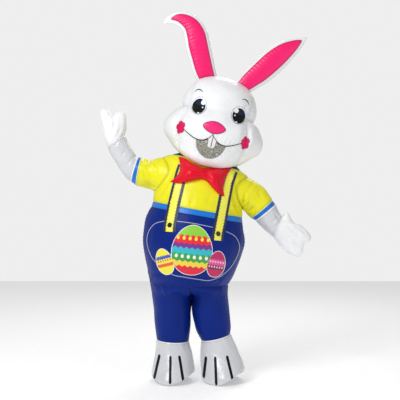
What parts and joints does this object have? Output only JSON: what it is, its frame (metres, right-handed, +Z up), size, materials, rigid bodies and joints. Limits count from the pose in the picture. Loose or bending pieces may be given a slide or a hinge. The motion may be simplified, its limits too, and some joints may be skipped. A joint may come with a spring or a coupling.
{
  "type": "inflatable easter bunny costume",
  "caption": "Inflatable easter bunny costume blown up as worn, an arm raised: tall ears, mouth window, bow tie, shirt with braces, overalls, gloves and shoe covers.",
  "frame": {"origin": "inside the collar, midway between the wearer's shoulders, where the wearer holds the costume up; the floor is 1.400 m below", "axes": "+Z up, the face looks along -Y, +X to the wearer's left"},
  "size_m": [1.3558, 0.6149, 2.3785],
  "materials": {
    "white_nylon": "smooth nylon taffeta, slight sheen",
    "yellow_nylon": "smooth nylon taffeta, slight sheen",
    "blue_nylon": "smooth nylon taffeta, slight sheen",
    "neck_binding": "smooth nylon taffeta",
    "navy_nylon": "smooth nylon taffeta, slight sheen",
    "pink_nylon": "smooth nylon taffeta, slight sheen",
    "crimson_nylon": "smooth nylon taffeta",
    "red_satin": "satin",
    "silver_nylon": "coated nylon, soft sheen",
    "window_mesh": "matte open mesh",
    "black_plastic": "gloss",
    "zip_metal": "satin"
  },
  "bodies": {
    "costume": {"belt_back": "blue_nylon", "belt_front": "blue_nylon", "bow_tie": "red_satin", "button_l": "black_plastic", "button_r": "black_plastic", "cheek_flower_l": "crimson_nylon", "cheek_flower_r": "crimson_nylon", "cheek_l": "white_nylon", "cheek_r": "white_nylon", "chin_panel": "white_nylon", "ear_back_l": "white_nylon", "ear_back_r": "white_nylon", "ear_inner_l": "pink_nylon", "ear_inner_r": "pink_nylon", "ear_rim_l": "white_nylon", "ear_rim_r": "white_nylon", "face_panel": "white_nylon", "foot_l": "silver_nylon", "foot_r": "silver_nylon", "forearm_l": "silver_nylon", "forearm_r": "silver_nylon", "glove_l": "white_nylon", "glove_r": "white_nylon", "head_back": "white_nylon", "leg_back_l": "navy_nylon", "leg_back_r": "navy_nylon", "leg_front_l": "navy_nylon", "leg_front_r": "navy_nylon", "mouth_window": "window_mesh", "neck_band": "neck_binding", "nose": "pink_nylon", "overalls_back": "navy_nylon", "overalls_front": "navy_nylon", "shirt_back": "yellow_nylon", "shirt_front": "yellow_nylon", "sleeve_band_l": "blue_nylon", "sleeve_band_r": "blue_nylon", "sleeve_l": "yellow_nylon", "sleeve_r": "yellow_nylon", "suspender_l": "yellow_nylon", "suspender_r": "yellow_nylon", "temple_l": "white_nylon", "temple_r": "white_nylon", "tooth_l": "white_nylon", "tooth_r": "white_nylon", "zip_slider": "zip_metal", "zip_tape": "navy_nylon"},
    "pull_tab": {"zip_pull": "zip_metal"}
  },
  "joints": [
    {"name": "zip_pull_hinge", "type": "hinge", "parent": "costume", "child": "pull_tab", "pos_m": [0.00156, 0.17389, -0.02239], "axis": [0.9726, 0, -0.2325], "range_deg": [0, 150]}
  ]
}
